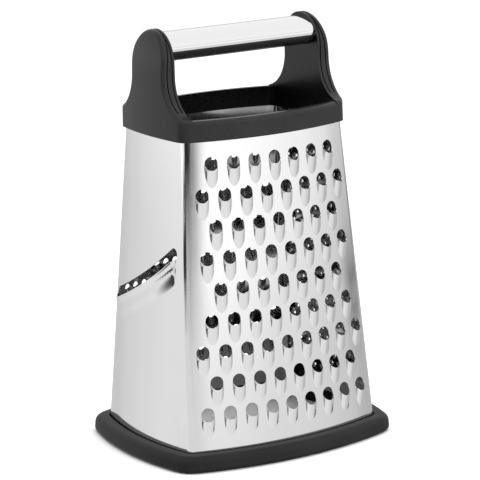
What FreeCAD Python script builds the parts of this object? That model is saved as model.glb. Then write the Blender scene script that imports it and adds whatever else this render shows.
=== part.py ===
import FreeCAD, Part
import math
import os

# Box grater in millimetres, +Z up, origin under the middle of the base.
# The wide coarse face looks along -Y, the slicing face along -X, and the grip bar runs along X.

# Steel box: crown to crown sizes at the lower and the upper edge of the sheet.
panel_height = 194.0
sheet = 0.6
width_bottom = 143.8
width_top = 113.2
depth_bottom = 120.9
depth_top = 87.0
wide_bow_bottom = 195.0
wide_bow_top = 156.0
side_bow_bottom = 180.0
side_bow_top = 210.0
corner_radius = 6.2

# Base ring: the steel stands in a groove between its outer wall and a lower inner wall.
base_height = 10.0
base_floor = 3.0
base_overhang = 9.2
base_inner_wall = 3.4
base_inner_drop = 3.0
base_top_round = 4.2
base_foot_round = 3.0
base_mouth = 1.0
base_mouth_depth = 3.5

# Handle moulding: collar, uprights and the core of the grip bar.
collar_height = 12.0
collar_lap = 6.5
collar_skirt = 2.0
collar_inner_wall = 2.2
collar_corner = 5.0
upright_height = 49.5
upright_width = 36.8
upright_inset = 7.4
upright_lean = 1.2
upright_dome = 4.2
dome_rise = 26.0
flare_radius = 23.0
outer_round = 2.4
lean_steps = 6
crease_depth = 0.7
crease_width = 0.8
outer_crease_inset = 2.8
inner_crease_inset = 1.4
crease_foot = 4.0

# Grip bar: the steel sleeve covers its top, and the core shows below the sleeve's edges.
bar_width = 30.0
bar_height = 17.2
bar_side_round = 6.5
bar_rim = 2.3
bar_root = 1.2
sleeve_sheet = 0.6
sleeve_edge_drop = 1.2

# Clearances: steel in its grooves, sleeve on the core, and the flat left beside and above the teeth.
seat_gap = 0.15
sleeve_gap = 0.1
tooth_land = 0.15

# Coarse scoops on the front.
coarse_hole = 7.8
coarse_pitch = 13.3
coarse_row = 18.2
coarse_lowest = 31.8
coarse_lip = 2.3
coarse_tail = 9.6
coarse_edge = 0.4

# Medium scoops on the back.
medium_hole = 3.6
medium_pitch = 6.8
medium_row = 10.2
medium_lowest = 27.7
medium_lip = 1.2
medium_tail = 4.6
medium_edge = 0.3

# Pierced points on the right.
fine_hole = 1.7
fine_foot = 3.6
fine_height = 1.2
fine_pitch = 7.4
fine_row = 5.2
fine_lowest = 24.4

# Upper rim of every scoop and of the slot stands this far proud of the sheet.
rim_flush = 0.12
scoop_pinch = 0.45

# Slicing slot on the left, with its lower lip pressed outward.
slot_middle_height = 105.4
slot_front_land = 3.5
slot_back_land = 3.0
slot_slope = 29.0
slot_bow = 285.0
slot_width = 6.6
lip_height = 2.4
lip_run = 20.0
slot_end_edge = 0.8
slot_top_edge = 0.6
slot_steps = 16

# Modelling limits: how far apart edges may be and still join, and how often a seat's place is refined.
join_tolerance = 0.001
seat_refinements = 6

panel_foot = base_floor
panel_top = panel_foot + panel_height
collar_foot = panel_top - collar_lap
collar_top = collar_foot + collar_height
handle_top = collar_top + upright_height
bar_z = handle_top - bar_rim - bar_height / 2.0
upright_gap = width_top - 2.0 * upright_inset
half_gap = upright_gap / 2.0

ORIGIN = FreeCAD.Vector(0, 0, 0)
ACROSS = FreeCAD.Vector(1, 0, 0)
UP = FreeCAD.Vector(0, 0, 1)
FACING = {"front": 0.0, "right": 90.0, "back": 180.0, "left": 270.0}


def between(low, high, z):
    """Value at height z of a size that changes evenly from the sheet's lower to its upper edge."""
    return low + (high - low) * (z - panel_foot) / panel_height


def arc(start, middle, end):
    return Part.Arc(start, middle, end).toShape()


def mirrored(point):
    return FreeCAD.Vector(-point.x, point.y, point.z)


def turned(shape, side):
    """Copy of a shape made facing -Y, turned to the side it belongs on."""
    copy = shape.copy()
    copy.rotate(ORIGIN, UP, FACING[side])
    return copy


class Section:
    """Level section of the steel box at one height, seen with one face in front at -Y."""

    def __init__(self, z, side):
        wide = side in ("front", "back")
        half_width = between(width_bottom, width_top, z) / 2.0
        half_depth = between(depth_bottom, depth_top, z) / 2.0
        wide_bow = between(wide_bow_bottom, wide_bow_top, z)
        side_bow = between(side_bow_bottom, side_bow_top, z)
        self.z = z
        self.corner = corner_radius
        self.reach, self.span = (half_depth, half_width) if wide else (half_width, half_depth)
        self.bow, self.next_bow = (wide_bow, side_bow) if wide else (side_bow, wide_bow)
        self.find_corner()

    def find_corner(self):
        """Place the corner arc that touches this face's arc and the next face's arc."""
        face_middle = FreeCAD.Vector(0, self.bow - self.reach, self.z)
        next_middle = FreeCAD.Vector(self.span - self.next_bow, 0, self.z)
        face_arm = self.bow - self.corner
        next_arm = self.next_bow - self.corner
        link = next_middle - face_middle
        along = (face_arm ** 2 - next_arm ** 2 + link.Length ** 2) / (2.0 * link.Length)
        aside = math.sqrt(face_arm ** 2 - along ** 2)
        link.normalize()
        self.face_middle = face_middle
        self.corner_middle = face_middle + link * along + UP.cross(link) * aside
        self.face_way = (self.corner_middle - face_middle).normalize()
        self.next_way = (self.corner_middle - next_middle).normalize()
        self.seam_way = (self.face_way + self.next_way).normalize()

    def touch(self, offset):
        """End of the face's arc, where the corner arc starts."""
        return self.face_middle + self.face_way * (self.bow + offset)

    def on_corner(self, way, offset):
        return self.corner_middle + way * (self.corner + offset)

    def face_arc(self, offset):
        end = self.touch(offset)
        crown = FreeCAD.Vector(0, -self.reach - offset, self.z)
        return arc(mirrored(end), crown, end)

    def half_corner(self, offset):
        middle = self.on_corner((self.face_way + self.seam_way).normalize(), offset)
        return arc(self.touch(offset), middle, self.on_corner(self.seam_way, offset))

    def whole_corner(self, offset):
        middle = self.on_corner(self.seam_way, offset)
        return arc(self.touch(offset), middle, self.on_corner(self.next_way, offset))


def face_half(side, z):
    """Half width of a face's inner side at height z, up to where its corners start."""
    foot, top = [Section(edge, side).touch(-sheet).x for edge in (panel_foot, panel_top)]
    return between(foot, top, z)


def outline(z, offset):
    """Closed outline of the steel box at height z, moved outward by offset."""
    edges = []
    for side in FACING:
        section = Section(z, side)
        edges.append(turned(section.face_arc(offset), side))
        edges.append(turned(section.whole_corner(offset), side))
    return Part.Wire(Part.__sortEdges__(edges))


def tapered(z_low, offset_low, z_high, offset_high):
    """Solid that follows the taper of the box between two heights."""
    return Part.makeLoft([outline(z_low, offset_low), outline(z_high, offset_high)], True, True)


def panel_sheet(side):
    """One bowed steel face with half of the rounded corner at each end."""
    wires = []
    for z in (panel_foot, panel_top):
        section = Section(z, side)
        edges = []
        for offset in (0.0, -sheet):
            half = section.half_corner(offset)
            edges += [section.face_arc(offset), half, half.mirror(ORIGIN, ACROSS)]
        outer = section.on_corner(section.seam_way, 0.0)
        inner = section.on_corner(section.seam_way, -sheet)
        edges.append(Part.makeLine(outer, inner))
        edges.append(Part.makeLine(mirrored(outer), mirrored(inner)))
        wires.append(Part.Wire(Part.__sortEdges__(edges)))
    return Part.makeLoft(wires, True, True)


class Spot:
    """Place on a bowed surface, from which lengths across and up the slope are measured."""

    def __init__(self, surface, across, z):
        self.surface = surface
        u_low, u_high, v_low, v_high = surface.bounds()
        self.u = (u_low + u_high) / 2.0
        share = (z - panel_foot) / panel_height
        rises = surface.value(self.u, v_high).z > surface.value(self.u, v_low).z
        self.v = v_low + (v_high - v_low) * (share if rises else 1.0 - share)
        for _ in range(seat_refinements):
            self.u += (across - surface.value(self.u, self.v).x) / surface.getDN(self.u, self.v, 1, 0).x
        self.find_scale()

    def find_scale(self):
        """Work out how far the two surface parameters move for a millimetre across and up."""
        along_u = self.surface.getDN(self.u, self.v, 1, 0)
        along_v = self.surface.getDN(self.u, self.v, 0, 1)
        across_way = FreeCAD.Vector(along_u) * math.copysign(1.0, along_u.x)
        across_way.normalize()
        self.out_sign = -math.copysign(1.0, along_u.cross(along_v).y)
        up_way = (along_u.cross(along_v) * self.out_sign).normalize().cross(across_way)
        self.u_across, self.v_across = along_u.dot(across_way), along_v.dot(across_way)
        self.u_up, self.v_up = along_u.dot(up_way), along_v.dot(up_way)
        self.turn = self.u_across * self.v_up - self.v_across * self.u_up

    def at(self, across, up):
        u = self.u + (across * self.v_up - up * self.v_across) / self.turn
        v = self.v + (up * self.u_across - across * self.u_up) / self.turn
        return u, v

    def above(self, across, up, height):
        """Point at a height over the surface."""
        u, v = self.at(across, up)
        return self.surface.value(u, v) + self.surface.normal(u, v) * self.out_sign * height

    def on_surface(self, places):
        return [FreeCAD.Base.Vector2d(*self.at(across, up)) for across, up in places]

    def hole(self, edges):
        """Closed wire that cuts a foot line out of the face."""
        wire = Part.Wire(edges)
        if self.turn > 0:
            wire.reverse()
        return wire


def pressing(outer, inner, seat, foot_edges, rim_edges):
    """Opening pressed out of the sheet: from a foot line on the face up to the rim of the opening."""
    outer_spot, inner_spot = Spot(outer, *seat), Spot(inner, *seat)
    outer_feet, inner_feet = foot_edges(outer_spot), foot_edges(inner_spot)
    outer_rims, inner_rims = rim_edges(outer_spot, 0.0), rim_edges(outer_spot, sheet)
    skins = []
    for lines in ((outer_feet, outer_rims), (outer_rims, inner_rims), (inner_feet, inner_rims)):
        skins += [Part.makeRuledSurface(first, second) for first, second in zip(*lines)]
    return outer_spot.hole(outer_feet), inner_spot.hole(inner_feet), skins


def pressed_panel(side, seats, foot_edges, rim_edges):
    """Steel face with the same pressed opening at every seat."""
    faces = sorted(panel_sheet(side).Faces, key=lambda face: face.Area, reverse=True)
    outer, inner = faces[0].Surface, faces[1].Surface
    pressings = [pressing(outer, inner, seat, foot_edges, rim_edges) for seat in seats]
    outer_face, inner_face = outer.toShape(), inner.toShape()
    outer_face.cutHoles([outer_wire for outer_wire, inner_wire, skins in pressings])
    inner_face.cutHoles([inner_wire for outer_wire, inner_wire, skins in pressings])
    shell = Part.makeCompound([outer_face, inner_face] + faces[2:] + [s for p in pressings for s in p[2]])
    shell.sewShape(join_tolerance)
    solid = Part.makeSolid(shell.Shells[0])
    if solid.Volume < 0:
        solid.reverse()
    return turned(solid, side)


def staggered_seats(side, pitch, row, lowest, half_foot, on_middle):
    """Seats in rows over a face: rows with a seat on the middle line alternate with rows beside it."""
    seats = []
    z = lowest
    while z + half_foot + tooth_land <= collar_foot:
        room = face_half(side, z) - half_foot - tooth_land
        shift = 0.0 if on_middle else 0.5
        reach = math.floor(room / pitch - shift)
        seats += [((i + shift) * pitch, z) for i in range(-reach - (not on_middle), reach + 1)]
        on_middle = not on_middle
        z += row
    return seats


def loop_poles(half_width, top, bottom, pinch):
    """Upper and lower half of a rounded loop, each one cubic curve; a pinch below 1 points its foot."""
    reach = 4.0 / 3.0
    upper = [(half_width, 0), (half_width, reach * top), (-half_width, reach * top), (-half_width, 0)]
    tip = pinch * half_width
    lower = [(-half_width, 0), (-tip, -reach * bottom), (tip, -reach * bottom), (half_width, 0)]
    return upper, lower


def tooth(foot_loop, rim_loop, rim_height):
    """Makers of a tooth's foot edges and rim edges at a spot, from two loops and the rim's height."""

    def foot_edges(spot):
        edges = []
        for half in foot_loop:
            curve = Part.Geom2d.BezierCurve2d()
            curve.setPoles(spot.on_surface(half))
            edges.append(curve.toShape(spot.surface))
        return edges

    def rim_edges(spot, lowered):
        edges = []
        for half in rim_loop:
            curve = Part.BezierCurve()
            curve.setPoles([spot.above(across, up, rim_height(up) - lowered) for across, up in half])
            edges.append(curve.toShape())
        return edges

    return foot_edges, rim_edges


def scoop(hole, lip, tail, edge):
    """Round hole whose lower rim is raised, with a tail that runs out below it."""
    radius = hole / 2.0
    half_foot = radius + edge

    def rim_height(up):
        return rim_flush + (lip - rim_flush) * (1.0 - up / radius) / 2.0

    foot_loop = loop_poles(half_foot, half_foot, radius + tail, scoop_pinch)
    return tooth(foot_loop, loop_poles(radius, radius, radius, 1.0), rim_height)


def coarse_panel():
    half_foot = coarse_hole / 2.0 + coarse_edge
    seats = staggered_seats("front", coarse_pitch, coarse_row, coarse_lowest, half_foot, True)
    return pressed_panel("front", seats, *scoop(coarse_hole, coarse_lip, coarse_tail, coarse_edge))


def medium_panel():
    half_foot = medium_hole / 2.0 + medium_edge
    seats = staggered_seats("back", medium_pitch, medium_row, medium_lowest, half_foot, False)
    return pressed_panel("back", seats, *scoop(medium_hole, medium_lip, medium_tail, medium_edge))


def fine_panel():
    """Right face: a cone at every seat, pierced from inside, with a level rim."""
    foot, hole = fine_foot / 2.0, fine_hole / 2.0
    foot_loop, rim_loop = [loop_poles(radius, radius, radius, 1.0) for radius in (foot, hole)]
    seats = staggered_seats("right", fine_pitch, fine_row, fine_lowest, foot, True)
    return pressed_panel("right", seats, *tooth(foot_loop, rim_loop, lambda up: fine_height))


def slicing_panel():
    """Left face: one slanted, curved slot whose lower lip swells out of the sheet."""
    slope = math.radians(slot_slope)
    room = face_half("left", slot_middle_height)
    middle = (slot_back_land - slot_front_land) / 2.0
    half_length = (2.0 * room - slot_front_land - slot_back_land) / 2.0 / math.cos(slope)
    halves = [[start + math.pi * i / slot_steps for i in range(slot_steps + 1)] for start in (0.0, math.pi)]

    def on_slope(along, above):
        """Turn a place along and above the slot's middle line into lengths across and up the face."""
        above += along ** 2 / (2.0 * slot_bow)
        across = along * math.cos(slope) - above * math.sin(slope)
        return across, along * math.sin(slope) + above * math.cos(slope)

    def blunt(angle):
        """Rise of a loop with blunt ends: 1 over its middle, -1 under it, 0 at its ends."""
        s = math.sin(angle)
        return math.copysign(math.sqrt(abs(s)), s)

    def foot(angle):
        """Foot line: just outside the slot, but far down the face below its lip."""
        rise = blunt(angle)
        reach = slot_width / 2.0 + slot_top_edge
        across, up = on_slope((half_length + slot_end_edge) * math.cos(angle), reach * rise)
        return across, up + lip_run * min(0.0, rise)

    def rim(angle):
        rise = blunt(angle)
        across, up = on_slope(half_length * math.cos(angle), slot_width / 2.0 * rise)
        return across, up, rim_flush + (lip_height - rim_flush) * max(0.0, -rise)

    def foot_edges(spot):
        edges = []
        for half in halves:
            curve = Part.Geom2d.BSplineCurve2d()
            curve.interpolate(spot.on_surface([foot(angle) for angle in half]))
            edges.append(curve.toShape(spot.surface))
        return edges

    def rim_edges(spot, lowered):
        edges = []
        for half in halves:
            places = [rim(angle) for angle in half]
            curve = Part.BSplineCurve()
            curve.interpolate([spot.above(across, up, height - lowered) for across, up, height in places])
            edges.append(curve.toShape())
        return edges

    return pressed_panel("left", [(middle, slot_middle_height)], foot_edges, rim_edges)


def leaning_solid(inset):
    """Outer form of the handle: collar below, leaning inward above and domed near the top."""
    sections = []
    for step in range(lean_steps + 1):
        share = step / lean_steps
        z = collar_foot + (handle_top - collar_foot) * share
        bent = max(0.0, z - handle_top + dome_rise) / dome_rise
        lean = upright_lean * share + upright_dome * bent ** 2
        section = outline(collar_foot, collar_skirt + seat_gap - inset - lean)
        section.translate(UP * (z - collar_foot))
        sections.append(section)
    return Part.makeLoft(sections, True, False)


def upright_profile(inset):
    """Side view of the +X upright: straight-sided with a round top, flared into the collar below."""
    half = upright_width / 2.0 - inset
    top_middle = handle_top - upright_width / 2.0
    flare = flare_radius + inset
    foot = collar_top - inset
    side_foot = foot + flare
    flare_end = half + flare
    bend = flare * (1.0 - math.sqrt(0.5))
    beyond = depth_bottom

    def point(y, z):
        return FreeCAD.Vector(half_gap, y, z)

    edges = [Part.makeLine(point(-beyond, collar_foot), point(beyond, collar_foot)),
             arc(point(-half, top_middle), point(0, top_middle + half), point(half, top_middle))]
    for s in (-1.0, 1.0):
        edges.append(Part.makeLine(point(s * beyond, collar_foot), point(s * beyond, foot)))
        edges.append(Part.makeLine(point(s * beyond, foot), point(s * flare_end, foot)))
        flare_middle = point(s * (half + bend), foot + bend)
        edges.append(arc(point(s * flare_end, foot), flare_middle, point(s * half, side_foot)))
        edges.append(Part.makeLine(point(s * half, side_foot), point(s * half, top_middle)))
    return Part.Face(Part.Wire(Part.__sortEdges__(edges)))


def upright(leaning):
    """Plate at the +X end with a rounded outer rim and a crease along each side of its narrow edge."""
    reach = ACROSS * width_bottom
    plate = upright_profile(0.0).extrude(reach).common(leaning)
    plate = plate.makeFillet(outer_round, [edge for edge in plate.Edges if on_outer_rim(edge)])
    skin = upright_profile(0.0).extrude(reach).cut(upright_profile(crease_depth).extrude(reach))
    skin = skin.common(Part.makeBox(width_bottom, 2.0 * depth_bottom, upright_height,
                                    FreeCAD.Vector(0, -depth_bottom, collar_top + crease_foot)))
    outer = leaning_solid(outer_crease_inset).cut(leaning_solid(outer_crease_inset + crease_width))
    inner = Part.makeBox(crease_width, 2.0 * depth_bottom, handle_top,
                         FreeCAD.Vector(half_gap + inner_crease_inset, -depth_bottom, 0))
    return plate.cut([skin.common(outer), skin.common(inner)])


def on_outer_rim(edge):
    """True for an upper edge of the upright plate along its outer side."""
    box = edge.BoundBox
    slanted = sum(length > join_tolerance for length in (box.XLength, box.YLength, box.ZLength)) > 1
    return slanted and box.XMax > half_gap + join_tolerance and box.ZMin > collar_foot + join_tolerance


def level_edges(solid, z):
    """Edges that lie in the level plane at height z."""
    def off_level(box):
        return max(abs(box.ZMin - z), abs(box.ZMax - z))

    return [edge for edge in solid.Edges if off_level(edge.BoundBox) < join_tolerance]


def bar_half(inset, over_top):
    """Arcs and end points of the upper or lower part of the bar's oval, inset from its surface."""
    half_width = bar_width / 2.0 - inset
    half_height = bar_height / 2.0 - inset
    side = bar_side_round - inset
    shoulder = half_width - side
    crown = (shoulder ** 2 + half_height ** 2 - side ** 2) / (2.0 * (half_height - side))
    sign = 1.0 if over_top else -1.0
    edge = math.asin(-sleeve_edge_drop / side)
    meet = sign * math.atan2(crown - half_height, shoulder)

    def on_side(angle, way):
        return FreeCAD.Vector(0, way * (shoulder + side * math.cos(angle)), bar_z + side * math.sin(angle))

    middle = (edge + meet) / 2.0
    arcs = [arc(on_side(edge, way), on_side(middle, way), on_side(meet, way)) for way in (-1.0, 1.0)]
    top = FreeCAD.Vector(0, 0, bar_z + sign * half_height)
    arcs.append(arc(on_side(meet, -1.0), top, on_side(meet, 1.0)))
    return arcs, [on_side(edge, way) for way in (-1.0, 1.0)]


def bar_section(lower, upper):
    """Closed face from two runs of arcs whose ends are joined by straight lines."""
    edges = lower[0] + upper[0] + [Part.makeLine(a, b) for a, b in zip(lower[1], upper[1])]
    return Part.Face(Part.Wire(Part.__sortEdges__(edges)))


def bar_core():
    """Core under the sleeve, full size where it shows below the sleeve's edges."""
    section = bar_section(bar_half(0.0, False), bar_half(sleeve_sheet + sleeve_gap, True))
    section.translate(ACROSS * (-half_gap - bar_root))
    return section.extrude(ACROSS * (upright_gap + 2.0 * bar_root))


def grip_sleeve():
    section = bar_section(bar_half(sleeve_sheet, True), bar_half(0.0, True))
    section.translate(ACROSS * (-half_gap + sleeve_gap))
    return section.extrude(ACROSS * (upright_gap - 2.0 * sleeve_gap))


def steel_groove(z_low, z_high):
    """Room for the edge of the steel box with the seat clearance on both faces."""
    outside = tapered(z_low, seat_gap, z_high, seat_gap)
    return outside.cut(tapered(z_low, -sheet - seat_gap, z_high, -sheet - seat_gap))


def collar_opening():
    """Open top inside the collar, between the inner planes of the uprights."""
    wall = sheet + seat_gap + collar_inner_wall
    room = Part.Face(outline(collar_foot, -wall)).extrude(UP * collar_height)
    room = room.common(collar_slab(upright_gap))
    standing = [edge for edge in room.Edges if edge.BoundBox.ZLength > join_tolerance]
    return room.makeFillet(collar_corner, standing)


def collar_slab(length):
    """Block of the collar's height that reaches past it in depth, for trimming it to a length along X."""
    corner = FreeCAD.Vector(-length / 2.0, -depth_bottom, collar_foot)
    return Part.makeBox(length, 2.0 * depth_bottom, collar_height, corner)


def handle_frame():
    """Collar between two end plates, with its open top, the groove for the steel and the bar's core."""
    leaning = leaning_solid(0.0)
    collar = leaning.common(collar_slab(2.0 * width_bottom))
    collar = collar.makeFillet(outer_round, level_edges(collar, collar_top))
    collar = collar.common(collar_slab(upright_gap))
    plate = upright(leaning)
    frame = collar.fuse([plate, plate.mirror(ORIGIN, ACROSS)]).removeSplitter()
    frame = frame.cut([collar_opening(), steel_groove(collar_foot, panel_top + seat_gap)])
    return frame.fuse(bar_core()).removeSplitter().Solids[0]


def base_ring():
    ring = tapered(0.0, base_overhang, base_height, base_overhang)
    for z, radius in ((0.0, base_foot_round), (base_height, base_top_round)):
        ring = ring.makeFillet(radius, level_edges(ring, z))
    inside = -sheet - seat_gap - base_inner_wall
    ring = ring.cut(tapered(0.0, inside, base_height, inside))
    inner_top = base_height - base_inner_drop
    ring = ring.cut(tapered(inner_top, -sheet, base_height, -sheet))
    ring = ring.cut(tapered(base_height - base_mouth_depth, 0.0, base_height, base_mouth))
    return ring.cut(steel_groove(base_floor, base_height)).Solids[0]


PIECES = {
    "handle_frame": handle_frame,
    "grip_sleeve": grip_sleeve,
    "coarse_panel": coarse_panel,
    "slicing_panel": slicing_panel,
    "medium_panel": medium_panel,
    "fine_panel": fine_panel,
    "base_ring": base_ring,
}

os.makedirs("parts", exist_ok=True)
for name, make in PIECES.items():
    make().exportStep("parts/%s.step" % name)
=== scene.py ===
import math

import bpy
import numpy as np
from mathutils import Matrix, Vector, geometry


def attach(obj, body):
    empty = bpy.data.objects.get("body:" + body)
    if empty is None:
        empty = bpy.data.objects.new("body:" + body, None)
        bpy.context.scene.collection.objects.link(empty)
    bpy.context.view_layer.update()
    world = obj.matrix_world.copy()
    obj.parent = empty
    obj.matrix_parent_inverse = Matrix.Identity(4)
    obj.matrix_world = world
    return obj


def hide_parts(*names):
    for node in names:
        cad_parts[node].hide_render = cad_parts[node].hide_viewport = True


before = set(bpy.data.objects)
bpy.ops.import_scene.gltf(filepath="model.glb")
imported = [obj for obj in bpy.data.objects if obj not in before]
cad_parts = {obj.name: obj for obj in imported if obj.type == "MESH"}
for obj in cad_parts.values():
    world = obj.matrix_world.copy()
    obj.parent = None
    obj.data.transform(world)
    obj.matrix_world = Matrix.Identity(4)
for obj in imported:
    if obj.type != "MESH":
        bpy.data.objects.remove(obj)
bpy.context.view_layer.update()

# Sizes are in millimetres here, as in the solid model, and become metres when a mesh is made.
MM = 0.001

# Steel box at its lower and upper edge: crown to crown sizes and the bow of its faces.
PANEL_FOOT = 3.0
PANEL_TOP = 197.0
PANEL_HEIGHT = PANEL_TOP - PANEL_FOOT
SHEET = 0.6
WIDTH = (143.8, 113.2)
DEPTH = (120.9, 87.0)
WIDE_BOW = (195.0, 156.0)
SIDE_BOW = (180.0, 210.0)
CORNER = 6.2
FACING = {"front": 0.0, "right": 90.0, "back": 180.0, "left": 270.0}
COLLAR_FOOT = 190.5
TOOTH_LAND = 0.15

# Share of the section's parameter that half a corner takes, beside 1 for half a face, and its columns of places.
CORNER_SHARE = 0.06
CORNER_COLUMNS = 8
# Millimetres that one unit of that parameter stands for when the sheet is triangulated.
FLAT_SCALE = 60.0
# Step, in millimetres, over which the normals of a pressed face are measured.
NORMAL_STEP = 0.02
# Where the pressing tilts the sheet this much, in degrees, it turns rougher and takes a painted shade of darker
# steel.
DULL_AND_SHADE_FROM = 38.0
DULL_AND_SHADE_FULL = 55.0

# Slicing slot on the left face.
SLOT_HEIGHT = 105.4
SLOT_FRONT_LAND = 3.5
SLOT_BACK_LAND = 3.0
SLOT_SLOPE = math.radians(29.0)
SLOT_BOW = 285.0
SLOT_HALF = 3.3
LIP_HEIGHT = 2.4
# The lip ends in a step at this share of the slot's half length, and fades out at its back.
LIP_END = 0.83
LIP_STEP = 3.2
LIP_BACK = 3.5

# Studio light: level for matt surfaces, and the floor's own white.
PLAIN_LIGHT = 0.75
FLOOR_GLOW = 0.42
# Floor: half its size, half the room inside the part, and how far the painted contact shadow and the wide painted
# shadow reach, in metres.
FLOOR_REACH = 4.0
FLOOR_INSIDE = {"X": 0.07, "Y": 0.058}
PAINTED_CONTACT_REACH = 0.03
PAINTED_SHADOW_REACH = 0.15
# Painted shade: colour of the steel on its steepest pressed walls, standing in for the dark they show.
PAINTED_SHADE_STEEL = (0.05, 0.05, 0.052)
# What mirrors see: level of the tent's walls by azimuth, and of the tent by height, both in degrees.
TENT_WALLS = [
    (-180.0, 0.77), (-171.0, 0.77), (-160.0, 0.87), (-147.0, 0.94), (-131.0, 1.0), (-110.0, 1.02), (12.0, 1.01),
    (29.0, 0.94), (45.0, 0.89), (57.0, 0.8), (68.0, 0.62), (115.0, 0.62), (150.0, 0.72), (180.0, 0.77)]
TENT_LEVELS = [
    (-90.0, 0.2), (-45.0, 0.36), (-36.0, 0.78), (-28.0, 0.84), (-12.0, 0.8), (-8.5, 0.8), (-7.5, 0.84),
    (-6.0, 0.9), (-5.4, 0.99), (-4.0, 1.12), (5.0, 1.12), (7.7, 0.66), (10.4, 0.98), (60.0, 0.95), (90.0, 0.9)]
# Dark gap between the tent's walls: azimuth of its left and right side by height, half the width over which a side
# fades, how much light it takes away, and how much its soft shade takes away by height.
GAP_LEFT = [
    (-8.0, -119.0), (-6.7, -112.0), (-4.9, -101.0), (-3.6, -94.0), (-2.5, -85.0), (-1.1, -71.0), (8.0, -71.0)]
GAP_RIGHT = [
    (-8.0, -119.0), (-6.7, -98.0), (-4.4, -74.0), (-3.1, -68.0), (-2.3, -63.0), (-1.4, -52.0), (-0.95, -28.0),
    (-0.8, -6.0), (8.0, 0.0)]
GAP_FADE = 4.0
GAP_DARK = 0.985
SHADE_LEVELS = [
    (-9.5, 0.0), (-8.0, 0.13), (-6.0, 0.19), (-5.0, 0.33), (-4.1, 0.42), (-3.3, 0.57), (-2.1, 0.67), (-1.5, 0.77),
    (3.0, 0.85), (12.0, 0.0)]
# How much light the dark patch at the left and the band at the right take away.
PATCH_DARK = 0.94
BAND_DARK = 0.6


class Ring:
    """Level section of the steel box at its lower (0) or upper (1) edge, with one face in front at -Y."""

    def __init__(self, end, wide):
        half_width, half_depth = WIDTH[end] / 2.0, DEPTH[end] / 2.0
        reach, span = (half_depth, half_width) if wide else (half_width, half_depth)
        bows = (WIDE_BOW[end], SIDE_BOW[end])
        self.bow, next_bow = bows if wide else bows[::-1]
        self.face_y = self.bow - reach
        face, beside = np.array([0.0, self.face_y]), np.array([span - next_bow, 0.0])
        link = beside - face
        length = np.hypot(*link)
        arm, next_arm = self.bow - CORNER, next_bow - CORNER
        along = (arm ** 2 - next_arm ** 2 + length ** 2) / (2.0 * length)
        aside = math.sqrt(arm ** 2 - along ** 2)
        link /= length
        self.corner = face + link * along + np.array([-link[1], link[0]]) * aside
        ways = [self.corner - face, self.corner - beside]
        self.touch, next_touch = [math.atan2(way[0], -way[1]) for way in ways]
        self.seam = (self.touch + next_touch) / 2.0

    def travel(self, t):
        """Points at t, and how they move with t: -1 to 1 is the face, and beyond that are the corners."""
        far, sign = np.abs(t), np.where(t < 0, -1.0, 1.0)
        turn = (self.seam - self.touch) / CORNER_SHARE
        on_face = far <= 1.0
        angle = np.where(on_face, far * self.touch, self.touch + (far - 1.0) * turn)
        radius = np.where(on_face, self.bow, CORNER)
        speed = np.where(on_face, self.bow * self.touch, CORNER * turn)
        x = np.where(on_face, 0.0, self.corner[0]) + radius * np.sin(angle)
        y = np.where(on_face, self.face_y, self.corner[1]) - radius * np.cos(angle)
        return np.stack([sign * x, y], -1), np.stack([speed * np.cos(angle), sign * speed * np.sin(angle)], -1)


class Face:
    """Plain bowed steel face, ruled from its lower to its upper section; t runs across it and w up it."""

    def __init__(self, side):
        self.side = side
        self.low, self.high = [Ring(end, side in ("front", "back")) for end in (0, 1)]

    def at(self, t, w):
        """Points, unit normals out of the face, and how the points move with t and with w."""
        t, w = np.asarray(t, float), np.asarray(w, float)[..., None]
        low, low_way = self.low.travel(t)
        high, high_way = self.high.travel(t)
        point = np.concatenate([low + (high - low) * w, PANEL_FOOT + PANEL_HEIGHT * w], -1)
        along_t = np.concatenate([low_way + (high_way - low_way) * w, 0.0 * w], -1)
        along_w = np.concatenate([high - low, PANEL_HEIGHT + 0.0 * w], -1)
        normal = np.cross(along_t, along_w)
        normal /= np.linalg.norm(normal, axis=-1, keepdims=True)
        return point, normal, along_t, along_w

    def half_width(self, z):
        """Half width at height z of the face's inner side, up to where its corners start."""
        ends = [ring.corner[0] + (CORNER - SHEET) * math.sin(ring.touch) for ring in (self.low, self.high)]
        return ends[0] + (ends[1] - ends[0]) * (z - PANEL_FOOT) / PANEL_HEIGHT


class Seat:
    """Place of one pressing on a face, with lengths across and up the slope measured from it."""

    def __init__(self, face, across, z):
        self.w = (z - PANEL_FOOT) / PANEL_HEIGHT
        self.t = 0.0
        for _ in range(6):
            point, normal, along_t, along_w = face.at(self.t, self.w)
            self.t += (across - point[0]) / along_t[0]
        point, normal, along_t, along_w = face.at(self.t, self.w)
        right = along_t / np.linalg.norm(along_t)
        up = np.cross(normal, right)
        self.to_lengths = np.array([[along_t @ right, along_w @ right], [along_t @ up, along_w @ up]])
        self.to_face = np.linalg.inv(self.to_lengths)

    def place(self, lengths):
        """Face parameters (t, w) of lengths (across, up) from the seat."""
        return np.array([self.t, self.w]) + np.asarray(lengths) @ self.to_face.T

    def measure(self, places):
        return (places - np.array([self.t, self.w])) @ self.to_lengths.T


def soft_rise(raw, blend):
    """Height that follows raw where it is above zero, with a small round along its foot."""
    return np.where(raw > blend, raw, np.where(raw < -blend, 0.0, (raw + blend) ** 2 / (4.0 * blend)))


def unit(vectors):
    return vectors / np.linalg.norm(vectors, axis=1, keepdims=True)


def straight(x):
    """Straight step from 0 to 1."""
    return np.clip(x, 0.0, 1.0)


def ease(x):
    """Smooth step from 0 to 1."""
    x = straight(x)
    return x * x * (3.0 - 2.0 * x)


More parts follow.
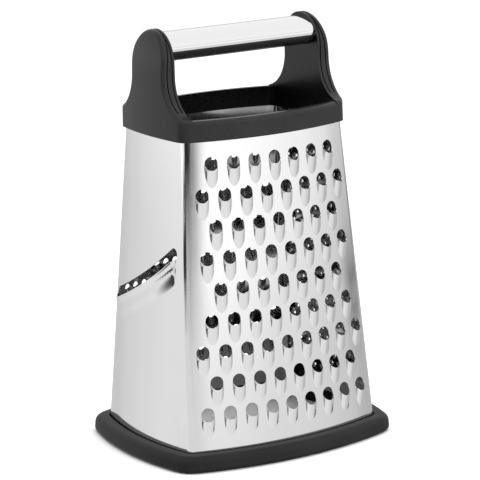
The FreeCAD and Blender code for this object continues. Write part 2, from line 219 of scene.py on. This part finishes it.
class Scoop:
    """Round hole with a half-round tongue below it that rises to a cutting lip.

    Lengths called shares are shares of the hole's radius.
    """

    # Seat that lifts the plain grid round the pressings, or -1 for none, and how far steep walls turn rougher and
    # darken with a painted shade.
    grid_owner = -1
    dull_and_painted_shade = 0.35
    # The tongue's section is a superellipse, which falls straight beyond a share of the radius.
    exponent = 2.15
    edge_share = 0.985
    edge_slope = 3.0
    # Beside the hole the ridge drops by this many times its height, from one share on and over another.
    ridge_drop = 1.6
    drop_start = -0.6
    drop_length = 1.5
    # Places: columns in parts of the foot's half width, and the shares that bound their rows.
    columns = (0.0, 0.28, 0.5, 0.68, 0.8, 0.88, 0.93, 0.97, 1.03, 1.12, 1.3)
    first_row = 0.25
    least_half = 0.3
    hole_land = 1.04
    upper_ring = 1.12
    upper_start = 0.3
    side_room = 1.35
    widest_foot = 1.2
    # The rows run this many blends past the tongue's tip.
    tip_blends = 6.0

    def __init__(self, hole, lip, tail, blend, count, rows):
        self.radius, self.lip, self.tail = hole / 2.0, lip, tail
        self.blend, self.count, self.rows = blend, count, rows

    def raw(self, p, q):
        """Height of the tongue at lengths p across and q up from the hole's middle, negative beside it."""
        p = np.abs(p)
        climb = np.clip((q + self.radius + self.tail) / self.tail, -1.0, 1.0)
        dropped = ease((q - self.drop_start * self.radius) / (self.drop_length * self.radius))
        ridge = self.lip * climb * (1.0 - self.ridge_drop * dropped)
        inside = np.minimum(p, self.edge_share * self.radius)
        section = (1.0 - (inside / self.radius) ** self.exponent) ** (1.0 / self.exponent)
        return ridge - self.lip * (1.0 - section) - self.edge_slope * (p - inside)

    def height(self, lengths):
        return soft_rise(self.raw(lengths[..., 0], lengths[..., 1]), self.blend)

    def foot(self, q):
        """Half width of the tongue where it leaves the sheet."""
        low, high = np.zeros_like(q), np.full_like(q, self.widest_foot * self.radius)
        for _ in range(24):
            middle = (low + high) / 2.0
            raised = self.raw(middle, q) > 0.0
            low, high = np.where(raised, middle, low), np.where(raised, high, middle)
        return low

    def rim(self):
        angle = np.linspace(0.0, 2.0 * math.pi, self.count, endpoint=False)
        return self.radius * np.stack([np.sin(angle), -np.cos(angle)], -1)

    def places(self):
        """Places round the hole and over the tongue, in rows that follow its outline."""
        tip = -self.radius - self.tail - self.tip_blends * self.blend
        q = np.linspace(self.first_row * self.radius, tip, self.rows)
        half = np.hypot(self.foot(q), self.least_half * self.radius)
        parts = np.array([-c for c in self.columns[:0:-1]] + list(self.columns))
        grid = np.stack([half[:, None] * parts, np.repeat(q[:, None], len(parts), 1)], -1).reshape(-1, 2)
        grid = grid[np.hypot(grid[:, 0], grid[:, 1]) > self.hole_land * self.radius]
        above = self.rim() * self.upper_ring
        return np.concatenate([grid, above[above[:, 1] > self.upper_start * self.radius]])

    def takes(self, lengths):
        """True for the places on the pressing or close to it."""
        side = self.side_room * self.radius
        tall = np.where(lengths[:, 1] < 0, side + self.tail, side)
        return (lengths[:, 0] / side) ** 2 + (lengths[:, 1] / tall) ** 2 < 1.0


class Point:
    """Small hole burst outward from inside, with a ragged crown of four points."""

    # Seat that lifts the plain grid, -1 for none, and how far steep walls turn rougher and darken with a painted
    # shade.
    grid_owner = -1
    dull_and_painted_shade = 0.3
    blend = 0.12
    # Rings of places, in parts of the way from the hole to the foot, and the room kept beyond them.
    steps = (0.45, 1.0, 1.18)
    room = 0.5
    # Crown: its points reach the full height and the dips between them lack twice notch of it.
    crown_points = 4.0
    notch = 0.16
    crown_turn = 0.6

    def __init__(self, hole, foot, height, count):
        self.radius, self.foot, self.rise, self.count = hole / 2.0, foot / 2.0, height, count

    def height(self, lengths):
        p, q = lengths[..., 0], lengths[..., 1]
        far = np.hypot(p, q)
        crown = 1.0 - self.notch + self.notch * np.cos(self.crown_points * np.arctan2(q, p) + self.crown_turn)
        climb = (self.foot - far) / (self.foot - self.radius)
        return soft_rise(self.rise * climb * (1.0 + (crown - 1.0) * np.clip(climb, 0.0, 1.0)), self.blend)

    def takes(self, lengths):
        return np.hypot(lengths[:, 0], lengths[:, 1]) < self.foot * self.steps[-1] + self.room

    def ring(self, step):
        angle = np.linspace(0.0, 2.0 * math.pi, self.count, endpoint=False)
        return (self.radius + (self.foot - self.radius) * step) * np.stack([np.sin(angle), -np.cos(angle)], -1)

    def rim(self):
        return self.ring(0.0)

    def places(self):
        return np.concatenate([self.ring(step) for step in self.steps])


class Slot:
    """Slanted, slightly curved slot with its lower lip swelling out of the sheet."""

    grid_owner = 0
    dull_and_painted_shade = 0.0
    count = 200
    # Rings of places outside the rim, and the room kept beyond them.
    offsets = (0.3, 0.8, 1.6)
    room = 0.5
    # The lip's fall down the face has three parts: share of the height, start and length.
    near_fall = (0.45, 0.0, 5.0)
    even_fall = (0.2, 0.0, 15.0)
    far_fall = (0.35, 7.0, 8.0)
    # The lip rises over this much of the opening, from above its middle line, in shares of its half height.
    rise_from = 0.4
    rise_over = 1.4

    def __init__(self, half_length):
        self.half_length = half_length

    def bend(self, along, above):
        """Lengths across and up the face, from lengths along and above the slot's middle line."""
        above = above + along ** 2 / (2.0 * SLOT_BOW)
        across = along * math.cos(SLOT_SLOPE) - above * math.sin(SLOT_SLOPE)
        return across, along * math.sin(SLOT_SLOPE) + above * math.cos(SLOT_SLOPE)

    def unbend(self, lengths):
        across, up = lengths[..., 0], lengths[..., 1]
        along = across * math.cos(SLOT_SLOPE) + up * math.sin(SLOT_SLOPE)
        above = up * math.cos(SLOT_SLOPE) - across * math.sin(SLOT_SLOPE)
        return along, above - along ** 2 / (2.0 * SLOT_BOW)

    def half_opening(self, along, offset=0.0):
        """Half height of the opening, grown by offset, which has round ends."""
        half = SLOT_HALF + offset
        past = np.clip(np.abs(along) - (self.half_length - SLOT_HALF), 0.0, half)
        return np.sqrt(half ** 2 - past ** 2)

    def height(self, lengths):
        """The lip is highest at the slot, falls off straight down the face and ends in a step near its front."""
        across, up = lengths[..., 0], lengths[..., 1]
        along = across / math.cos(SLOT_SLOPE)
        for _ in range(8):
            edge_across, edge_up = self.bend(along, -self.half_opening(along))
            along = np.clip(along + (across - edge_across), -self.half_length, self.half_length)
        edge_across, edge_up = self.bend(along, -self.half_opening(along))
        down = np.maximum(edge_up - up, 0.0)
        ramp = np.zeros_like(down)
        falls = ((self.near_fall, ease), (self.even_fall, straight), (self.far_fall, ease))
        for (share, start, length), curve in falls:
            ramp = ramp + share * (1.0 - curve((down - start) / length))
        step_across = self.bend(LIP_END * self.half_length, -SLOT_HALF)[0]
        front = 1.0 - ease((across - step_across) / LIP_STEP)
        back = 1.0 - ease((edge_across - across) / LIP_BACK)
        above = self.unbend(lengths)[1]
        side = (SLOT_HALF * self.rise_from - above) / (SLOT_HALF * self.rise_over)
        return LIP_HEIGHT * ramp * front * back * ease(side)

    def ring(self, offset):
        """Closed ring of places round the opening, this far outside its rim."""
        angle = np.linspace(0.0, 2.0 * math.pi, self.count, endpoint=False)
        sign = np.where(np.sin(angle) < 0, -1.0, 1.0)
        along = (self.half_length + offset) * np.cos(angle)
        return np.stack(self.bend(along, sign * self.half_opening(along, offset)), -1)

    def rim(self):
        return self.ring(0.0)

    def places(self):
        return np.concatenate([self.ring(offset) for offset in self.offsets])

    def takes(self, lengths):
        """True for the places inside the outermost ring and close to it."""
        along, above = self.unbend(lengths)
        offset = self.offsets[-1] + self.room
        return (np.abs(along) < self.half_length + offset) & (np.abs(above) < self.half_opening(along, offset))


def staggered(face, pitch, row, lowest, half_foot, on_middle):
    """Seats in rows over a face: rows with a seat on the middle line alternate with rows beside it."""
    seats = []
    z = lowest
    while z + half_foot + TOOTH_LAND <= COLLAR_FOOT:
        room = face.half_width(z) - half_foot - TOOTH_LAND
        shift = 0.0 if on_middle else 0.5
        reach = math.floor(room / pitch - shift)
        seats += [Seat(face, (i + shift) * pitch, z) for i in range(-reach - (not on_middle), reach + 1)]
        on_middle = not on_middle
        z += row
    return seats


def grid_places(columns, rows):
    """Places of a plain face: even columns over the face, close ones round the corners."""
    face_columns = np.linspace(-1.0, 1.0, columns)
    corner_columns = 1.0 + CORNER_SHARE * np.linspace(0.0, 1.0, CORNER_COLUMNS + 1)[1:]
    columns = np.concatenate([-corner_columns[::-1], face_columns, corner_columns])
    t, w = np.meshgrid(columns, np.linspace(0.0, 1.0, rows))
    return np.stack([t.ravel(), w.ravel()], -1)


def pressed_points(face, places, owner, seats, press):
    """Points and normals of the pressed face at these places; owner is the seat of each, or -1."""
    def lifted(at):
        point, normal, along_t, along_w = face.at(at[:, 0], at[:, 1])
        rise = np.zeros(len(at))
        for index, seat in enumerate(seats):
            mine = owner == index
            rise[mine] = press.height(seat.measure(at[mine]))
        return point + normal * rise[:, None]

    step_t = np.array([NORMAL_STEP / FLAT_SCALE, 0.0])
    step_w = np.array([0.0, NORMAL_STEP / PANEL_HEIGHT])
    across = lifted(places + step_t) - lifted(places - step_t)
    up = lifted(places + step_w) - lifted(places - step_w)
    return lifted(places), unit(np.cross(across, up))


def triangles(places, rims):
    """Triangles between the places, with the rims kept as edges and nothing across the holes."""
    flat = places * np.array([FLAT_SCALE, PANEL_HEIGHT])
    edges = [(int(a), int(b)) for rim in rims for a, b in zip(rim, np.roll(rim, -1))]
    whole_hull, smallest, with_sources = 0, 1e-7, True
    result = geometry.delaunay_2d_cdt(
        [Vector(place) for place in flat], edges, [], whole_hull, smallest, with_sources)
    source = [ids[0] for ids in result[3]]
    rim_of = np.full(len(places), -1)
    for index, rim in enumerate(rims):
        rim_of[rim] = index
    corners = np.array([[source[i] for i in face] for face in result[2]])
    in_hole = (rim_of[corners[:, 0]] >= 0) & (np.ptp(rim_of[corners], axis=1) == 0)
    return corners[~in_hole]


def border(places):
    """Loop of place numbers round the outer edge of a face, anticlockwise seen from outside."""
    t, w = places[:, 0], places[:, 1]
    far = 1.0 + CORNER_SHARE
    foot = np.flatnonzero(np.isclose(w, 0.0))
    top = np.flatnonzero(np.isclose(w, 1.0))
    right = np.flatnonzero(np.isclose(t, far))
    left = np.flatnonzero(np.isclose(t, -far))
    runs = [
        foot[np.argsort(t[foot])], right[np.argsort(w[right])],
        top[np.argsort(-t[top])], left[np.argsort(-w[left])]]
    return np.concatenate([run[:-1] for run in runs])


def cut_edge(loop, is_hole, point, base_normal):
    """Faces and corner normals of the cut edge along a loop of places; inner points follow the outer ones."""
    count = len(point)
    ahead = np.roll(loop, -1)
    out = np.cross(base_normal[loop], point[ahead] - point[loop])
    first = last = unit(out if is_hole else -out)
    if is_hole:
        first = unit(first + np.roll(first, 1, axis=0))
        last = np.roll(first, -1, axis=0)
    faces, normals = [], []
    for a, b, at_a, at_b in zip(loop.tolist(), ahead.tolist(), first, last):
        if not is_hole:
            a, b, at_a, at_b = b, a, at_b, at_a
        faces.append([a, b, b + count, a + count])
        normals += [at_a, at_b, at_b, at_a]
    return faces, normals


def steel_panel(name, face, seats, press, materials, grid_size=(41, 49)):
    """Mesh of one pressed steel face with its outer side, its inner side and all its cut edges."""
    rim, others = press.rim(), press.places()
    grid = grid_places(*grid_size)
    for seat in seats:
        grid = grid[~press.takes(seat.measure(grid))]
    places, owner, rims = [grid], [np.full(len(grid), press.grid_owner)], []
    count = len(grid)
    for index, seat in enumerate(seats):
        rims.append(count + np.arange(len(rim)))
        places += [seat.place(rim), seat.place(others)]
        owner.append(np.full(len(rim) + len(others), index))
        count += len(rim) + len(others)
    places, owner = np.concatenate(places), np.concatenate(owner)
    point, normal = pressed_points(face, places, owner, seats, press)
    base_normal = face.at(places[:, 0], places[:, 1])[1]
    inner = point - base_normal * SHEET
    skin = triangles(places, rims)

    outer_faces = skin.tolist()
    inner_faces = (skin[:, ::-1] + count).tolist()
    wall_faces, wall_normals = [], []
    for loop, is_hole in [(rim, True) for rim in rims] + [(border(places), False)]:
        faces, normals = cut_edge(loop, is_hole, point, base_normal)
        wall_faces += faces
        wall_normals += normals

    angle = math.radians(FACING[face.side])
    turned = np.array([[math.cos(angle), math.sin(angle), 0], [-math.sin(angle), math.cos(angle), 0], [0, 0, 1]])
    corners = np.concatenate([point, inner]) @ turned * MM
    mesh = bpy.data.meshes.new(name)
    mesh.from_pydata(corners.tolist(), [], outer_faces + inner_faces + wall_faces)
    for material in materials:
        mesh.materials.append(material)
    # The outer side takes the first material and the inner side the second, a darker copy of the steel as painted
    # shade.
    slots = np.zeros(len(mesh.polygons), np.int32)
    slots[len(outer_faces):len(outer_faces) + len(inner_faces)] = 1
    mesh.polygons.foreach_set("material_index", slots)
    mesh.polygons.foreach_set("use_smooth", np.ones(len(mesh.polygons), bool))
    outer_normals, inner_normals = normal[skin].reshape(-1, 3), -normal[skin[:, ::-1]].reshape(-1, 3)
    loop_normals = np.concatenate([outer_normals, inner_normals, np.array(wall_normals)])
    mesh.normals_split_custom_set((loop_normals @ turned).tolist())
    # Painted shade: where the pressing tilts the outer side steeply, the material darkens the steel and makes it
    # rougher.
    tilt = np.degrees(np.arccos(np.clip((normal * base_normal).sum(1), -1.0, 1.0)))
    outer_dull_and_painted_shade = press.dull_and_painted_shade * ease((tilt - DULL_AND_SHADE_FROM) / (DULL_AND_SHADE_FULL - DULL_AND_SHADE_FROM))
    dull_and_painted_shade = np.concatenate([outer_dull_and_painted_shade, np.zeros(count)])
    mesh.attributes.new("dull_and_painted_shade", "FLOAT", "POINT").data.foreach_set("value", dull_and_painted_shade)
    panel = bpy.data.objects.new(name + "_sheet", mesh)
    bpy.context.scene.collection.objects.link(panel)
    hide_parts(name)
    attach(panel, "root")


class Nodes:
    """Small helper that adds nodes to a material or a world and links them."""

    def __init__(self, owner):
        owner.use_nodes = True
        self.tree = owner.node_tree
        self.tree.nodes.clear()

    def add(self, kind, inputs=None, **settings):
        node = self.tree.nodes.new(kind)
        for key, value in settings.items():
            setattr(node, key, value)
        for key, value in (inputs or {}).items():
            if isinstance(value, bpy.types.NodeSocket):
                self.tree.links.new(value, node.inputs[key])
            else:
                node.inputs[key].default_value = value
        return node

    def math(self, operation, *values):
        return self.add("ShaderNodeMath", dict(enumerate(values)), operation=operation).outputs[0]

    def product(self, first, *others):
        for other in others:
            first = self.math("MULTIPLY", first, other)
        return first

    def profile(self, value, stops, smooth=True):
        """Value that follows a list of (place, level) stops."""
        low, high = stops[0][0], stops[-1][0]
        least, most = min(level for _, level in stops), max(level for _, level in stops)
        share = self.add("ShaderNodeMapRange", {"Value": value, "From Min": low, "From Max": high}).outputs["Result"]
        node = self.add("ShaderNodeValToRGB", {"Fac": share})
        node.color_ramp.interpolation = "EASE" if smooth else "LINEAR"
        marks = node.color_ramp.elements
        while len(marks) < len(stops):
            marks.new(0.5)
        for mark, (place, level) in zip(marks, stops):
            mark.position = (place - low) / (high - low)
            mark.color = 3 * ((level - least) / (most - least),) + (1.0,)
        inputs = {"Value": node.outputs["Color"], "To Min": least, "To Max": most}
        return self.add("ShaderNodeMapRange", inputs).outputs["Result"]

    def mix(self, share, first, second):
        """Colour that goes from the first to the second as share goes from 0 to 1."""
        return self.add("ShaderNodeMix", {0: share, 6: first, 7: second}, data_type="RGBA").outputs[2]

    def ramp(self, value, low, high, to_low=0.0, to_high=1.0):
        """Smooth change from to_low to to_high while value goes from low to high."""
        inputs = {"Value": value, "From Min": low, "From Max": high, "To Min": to_low, "To Max": to_high}
        return self.add("ShaderNodeMapRange", inputs, interpolation_type="SMOOTHSTEP").outputs["Result"]


def steel(name, colour, roughness):
    """Rolled steel sheet: faint upright grain, cloudy polish, and on its steepest pressed walls rougher with a
    painted shade.
    """
    material = bpy.data.materials.new(name)
    nodes = Nodes(material)
    where = nodes.add("ShaderNodeTexCoord").outputs["Object"]
    stretch = nodes.add("ShaderNodeMapping", {"Vector": where, "Scale": (900.0, 900.0, 14.0)}).outputs["Vector"]
    grain = nodes.add("ShaderNodeTexNoise", {"Vector": stretch, "Scale": 1.0, "Detail": 3.0}).outputs["Fac"]
    cloud = nodes.add("ShaderNodeTexNoise", {"Vector": where, "Scale": 38.0, "Detail": 2.0}).outputs["Fac"]
    polish = nodes.math("ADD", nodes.math("MULTIPLY", grain, 0.4), nodes.math("MULTIPLY", cloud, 0.6))
    # Painted shade: the steep-wall attribute darkens the steel's colour and adds roughness.
    dull_and_painted_shade = nodes.add("ShaderNodeAttribute", attribute_name="dull_and_painted_shade").outputs["Fac"]
    dulled = nodes.math("ADD", nodes.ramp(polish, 0.35, 0.65, *roughness), nodes.math("MULTIPLY", dull_and_painted_shade, 0.25))
    shade = nodes.mix(dull_and_painted_shade, (*colour, 1.0), (*PAINTED_SHADE_STEEL, 1.0))
    bump = nodes.add("ShaderNodeBump", {"Height": grain, "Strength": 0.02, "Distance": 0.00002}).outputs["Normal"]
    shader = nodes.add("ShaderNodeBsdfPrincipled", {
        "Base Color": shade, "Metallic": 1.0, "Roughness": dulled, "Normal": bump})
    nodes.add("ShaderNodeOutputMaterial", {"Surface": shader.outputs["BSDF"]})
    return material


def moulding(name, colour, light_colour, painted_shade_colour, gloss, roughness, grain_size, grain_depth):
    """Moulded plastic or rubber with a fine grain, cloudy tone, and painted shade on the sides that face the middle.
    """
    material = bpy.data.materials.new(name)
    nodes = Nodes(material)
    where = nodes.add("ShaderNodeTexCoord").outputs["Object"]
    fine = {"Vector": where, "Scale": 1.0 / grain_size, "Detail": 2.0}
    grain = nodes.add("ShaderNodeTexNoise", fine).outputs["Fac"]
    cloud = nodes.add("ShaderNodeTexNoise", {"Vector": where, "Scale": 30.0, "Detail": 3.0}).outputs["Fac"]
    shade = nodes.mix(nodes.ramp(cloud, 0.3, 0.7), (*colour, 1.0), (*light_colour, 1.0))
    # Painted shade: sides whose normal faces the middle take the darker colour.
    level = nodes.add("ShaderNodeVectorMath", {0: where, 1: (1.0, 1.0, 0.0)}, operation="MULTIPLY").outputs["Vector"]
    level = nodes.add("ShaderNodeVectorMath", {0: level}, operation="NORMALIZE").outputs["Vector"]
    facing = nodes.add("ShaderNodeNewGeometry").outputs["Normal"]
    outward = nodes.add("ShaderNodeVectorMath", {0: level, 1: facing}, operation="DOT_PRODUCT").outputs["Value"]
    shade = nodes.mix(nodes.ramp(outward, -0.5, -0.1, 1.0, 0.0), shade, (*painted_shade_colour, 1.0))
    bump = nodes.add("ShaderNodeBump", {"Height": grain, "Strength": 0.5, "Distance": grain_depth}).outputs["Normal"]
    shader = nodes.add("ShaderNodeBsdfPrincipled", {
        "Base Color": shade, "Roughness": nodes.ramp(grain, 0.3, 0.7, *roughness), "Normal": bump,
        "Specular IOR Level": gloss})
    nodes.add("ShaderNodeOutputMaterial", {"Surface": shader.outputs["BSDF"]})
    return material


def light_world():
    """White studio: plain light all round, and for mirrors a tent with a dark gap at the camera's left."""
    world = bpy.data.worlds.new("studio")
    bpy.context.scene.world = world
    nodes = Nodes(world)
    way = nodes.add("ShaderNodeTexCoord").outputs["Generated"]
    parts = nodes.add("ShaderNodeSeparateXYZ", {"Vector": way}).outputs
    # Degrees: an azimuth of 0 looks along -Y and 90 along +X, and a height of 0 is the horizon.
    turn = nodes.math("ARCTAN2", parts["X"], nodes.math("MULTIPLY", parts["Y"], -1.0))
    azimuth = nodes.math("MULTIPLY", turn, 180.0 / math.pi)
    height = nodes.math("MULTIPLY", nodes.math("ARCSINE", parts["Z"]), 180.0 / math.pi)
    walls = nodes.math("MAXIMUM", nodes.profile(azimuth, TENT_WALLS), nodes.ramp(height, 6.0, 16.0))
    levels = nodes.profile(height, TENT_LEVELS)
    from_left = nodes.math("SUBTRACT", azimuth, nodes.profile(height, GAP_LEFT, False))
    from_right = nodes.math("SUBTRACT", azimuth, nodes.profile(height, GAP_RIGHT, False))
    black = nodes.product(
        nodes.ramp(from_right, -GAP_FADE, GAP_FADE, GAP_DARK, 0.0), nodes.ramp(height, 8.0, 12.0, 1.0, 0.0),
        nodes.ramp(height, -8.0, -6.5))
    shade = nodes.product(
        nodes.ramp(azimuth, -7.5, -0.5, 1.0, 0.0), nodes.profile(height, SHADE_LEVELS, False))
    gap = nodes.product(nodes.ramp(from_left, -GAP_FADE, GAP_FADE), nodes.math("MAXIMUM", black, shade))
    # A dark patch low at the left darkens the left side of each tongue, and its upper side climbs to the right.
    climb = nodes.math("MULTIPLY", nodes.math("ADD", azimuth, 100.0), 0.05)
    patch = nodes.product(
        nodes.ramp(azimuth, -134.0, -120.0), nodes.ramp(azimuth, -92.0, -42.0, PATCH_DARK, 0.0),
        nodes.ramp(height, -30.0, -26.0), nodes.ramp(nodes.math("SUBTRACT", height, climb), -13.0, -10.5, 1.0, 0.0))
    # A band at the right darkens the far corner.
    band = nodes.product(
        nodes.ramp(height, -9.0, -8.2), nodes.ramp(height, -7.8, -6.2, BAND_DARK, 0.0),
        nodes.ramp(azimuth, 60.0, 67.0))
    dark = nodes.math("MAXIMUM", nodes.math("MAXIMUM", gap, patch), band)
    tent = nodes.product(walls, levels, nodes.math("SUBTRACT", 1.0, dark))
    path = nodes.add("ShaderNodeLightPath").outputs
    mirrored = nodes.math("MAXIMUM", path["Is Glossy Ray"], path["Is Transmission Ray"])
    by_ray = {"Value": mirrored, "To Min": PLAIN_LIGHT, "To Max": tent}
    seen = nodes.add("ShaderNodeMapRange", by_ray).outputs["Result"]
    strength = nodes.math("MAXIMUM", path["Is Camera Ray"], seen)
    background = nodes.add("ShaderNodeBackground", {"Color": (1.0, 1.0, 1.0, 1.0), "Strength": strength})
    nodes.add("ShaderNodeOutputWorld", {"Surface": background.outputs["Background"]})


def light_lamp(name, place, size, power):
    """Soft lamp aimed at the part, which mirrors don't show."""
    lamp = bpy.data.lights.new(name, "AREA")
    lamp.size, lamp.energy = size, power
    holder = bpy.data.objects.new(name, lamp)
    holder.location = place
    holder.rotation_euler = (Vector((0, 0, 0.1)) - Vector(place)).to_track_quat("-Z", "Y").to_euler()
    holder.visible_glossy = False
    bpy.context.scene.collection.objects.link(holder)


def lay_floor():
    """Pale floor that keeps the lamps' shadow and gets a painted shadow near the part; outside the part, mirrors see
    the studio's lower half instead.
    """
    mesh = bpy.data.meshes.new("floor")
    corners = [(-FLOOR_REACH, -FLOOR_REACH, 0), (FLOOR_REACH, -FLOOR_REACH, 0),
               (FLOOR_REACH, FLOOR_REACH, 0), (-FLOOR_REACH, FLOOR_REACH, 0)]
    mesh.from_pydata(corners, [], [(0, 1, 2, 3)])
    floor = bpy.data.objects.new("floor", mesh)
    bpy.context.scene.collection.objects.link(floor)
    material = bpy.data.materials.new("floor")
    nodes = Nodes(material)
    path = nodes.add("ShaderNodeLightPath").outputs
    paper = nodes.add("ShaderNodeBsdfDiffuse", {"Color": (0.8, 0.8, 0.8, 1.0)}).outputs["BSDF"]
    # Painted shadow: the floor's glow dims where ambient occlusion finds the part close by, at its foot and inside
    # it.
    near = nodes.add("ShaderNodeAmbientOcclusion", {"Distance": PAINTED_CONTACT_REACH}, samples=8).outputs["AO"]
    wide = nodes.add("ShaderNodeAmbientOcclusion", {"Distance": PAINTED_SHADOW_REACH}, samples=8).outputs["AO"]
    glow = nodes.product(nodes.ramp(near, 0.3, 1.0, 0.0, FLOOR_GLOW), nodes.ramp(wide, 0.12, 0.4))
    glow = nodes.product(path["Is Camera Ray"], glow)
    glow = nodes.add("ShaderNodeEmission", {"Strength": glow}).outputs["Emission"]
    plain = nodes.add("ShaderNodeAddShader", {0: paper, 1: glow}).outputs["Shader"]
    clear = nodes.add("ShaderNodeBsdfTransparent").outputs["BSDF"]
    where = nodes.add("ShaderNodeTexCoord").outputs["Object"]
    parts = nodes.add("ShaderNodeSeparateXYZ", {"Vector": where}).outputs
    beside = [nodes.math("GREATER_THAN", nodes.math("ABSOLUTE", parts[axis]), half)
              for axis, half in FLOOR_INSIDE.items()]
    through = nodes.product(path["Is Glossy Ray"], nodes.math("MAXIMUM", *beside))
    both = nodes.add("ShaderNodeMixShader", {0: through, 1: plain, 2: clear}).outputs["Shader"]
    nodes.add("ShaderNodeOutputMaterial", {"Surface": both})
    mesh.materials.append(material)


def set_camera():
    """Camera fitted to the photograph: place, directions of its right, up and back, and its lens."""
    camera = bpy.data.cameras.new("camera")
    camera.lens, camera.sensor_width = 193.14, 36.0
    holder = bpy.data.objects.new("camera", camera)
    right, up, back = (0.85003, -0.52602, -0.02733), (0.14511, 0.18398, 0.97216), (-0.50635, -0.83033, 0.23272)
    turn = Matrix((right, up, back)).transposed().to_4x4()
    holder.matrix_world = Matrix.Translation((-0.780198, -1.283683, 0.478262)) @ turn
    bpy.context.scene.collection.objects.link(holder)
    bpy.context.scene.camera = holder


bpy.context.scene.view_settings.view_transform = "Standard"
set_camera()
light_world()
lay_floor()
light_lamp("overhead", place=(0.15, 0.1, 1.3), size=1.2, power=9.0)
light_lamp("front", place=(0.6, -1.3, 0.6), size=0.9, power=18.0)

polished = steel("polished_steel", (0.9, 0.9, 0.905), roughness=(0.05, 0.12))
# Inner side of the sheet: a darker copy of the same steel, painted shade for the inside of the box.
inside = steel("painted_shade_inside_steel", (0.44, 0.44, 0.445), roughness=(0.05, 0.11))
plastic = moulding(
    "handle_plastic", colour=(0.014, 0.014, 0.0145), light_colour=(0.018, 0.018, 0.0185),
    painted_shade_colour=(0.002, 0.002, 0.0021), gloss=0.28, roughness=(0.2, 0.3), grain_size=0.0004, grain_depth=0.00002)
rubber = moulding(
    "base_rubber", colour=(0.009, 0.009, 0.0092), light_colour=(0.013, 0.013, 0.0132),
    painted_shade_colour=(0.004, 0.004, 0.0041), gloss=0.25, roughness=(0.45, 0.6), grain_size=0.0005, grain_depth=0.00004)

front, back, right, left = [Face(side) for side in ("front", "back", "right", "left")]
coarse = Scoop(hole=7.8, lip=2.3, tail=9.6, blend=0.13, count=56, rows=24)
coarse_seats = staggered(front, pitch=13.3, row=18.2, lowest=31.8, half_foot=4.3, on_middle=True)
steel_panel("coarse_panel", front, coarse_seats, coarse, (polished, inside))
medium = Scoop(hole=3.6, lip=1.2, tail=4.6, blend=0.12, count=24, rows=9)
medium_seats = staggered(back, pitch=6.8, row=10.2, lowest=27.7, half_foot=2.1, on_middle=False)
steel_panel("medium_panel", back, medium_seats, medium, (polished, inside))
fine = Point(hole=1.7, foot=3.6, height=1.2, count=16)
fine_seats = staggered(right, pitch=7.4, row=5.2, lowest=24.4, half_foot=1.8, on_middle=True)
steel_panel("fine_panel", right, fine_seats, fine, (polished, inside))
slot_room = left.half_width(SLOT_HEIGHT)
slot = Slot((2.0 * slot_room - SLOT_FRONT_LAND - SLOT_BACK_LAND) / 2.0 / math.cos(SLOT_SLOPE))
slot_seat = Seat(left, (SLOT_BACK_LAND - SLOT_FRONT_LAND) / 2.0, SLOT_HEIGHT)
steel_panel("slicing_panel", left, [slot_seat], slot, (polished, inside), grid_size=(81, 131))

for node, material in (("handle_frame", plastic), ("grip_sleeve", polished), ("base_ring", rubber)):
    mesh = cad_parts[node].data
    mesh.materials.clear()
    mesh.materials.append(material)
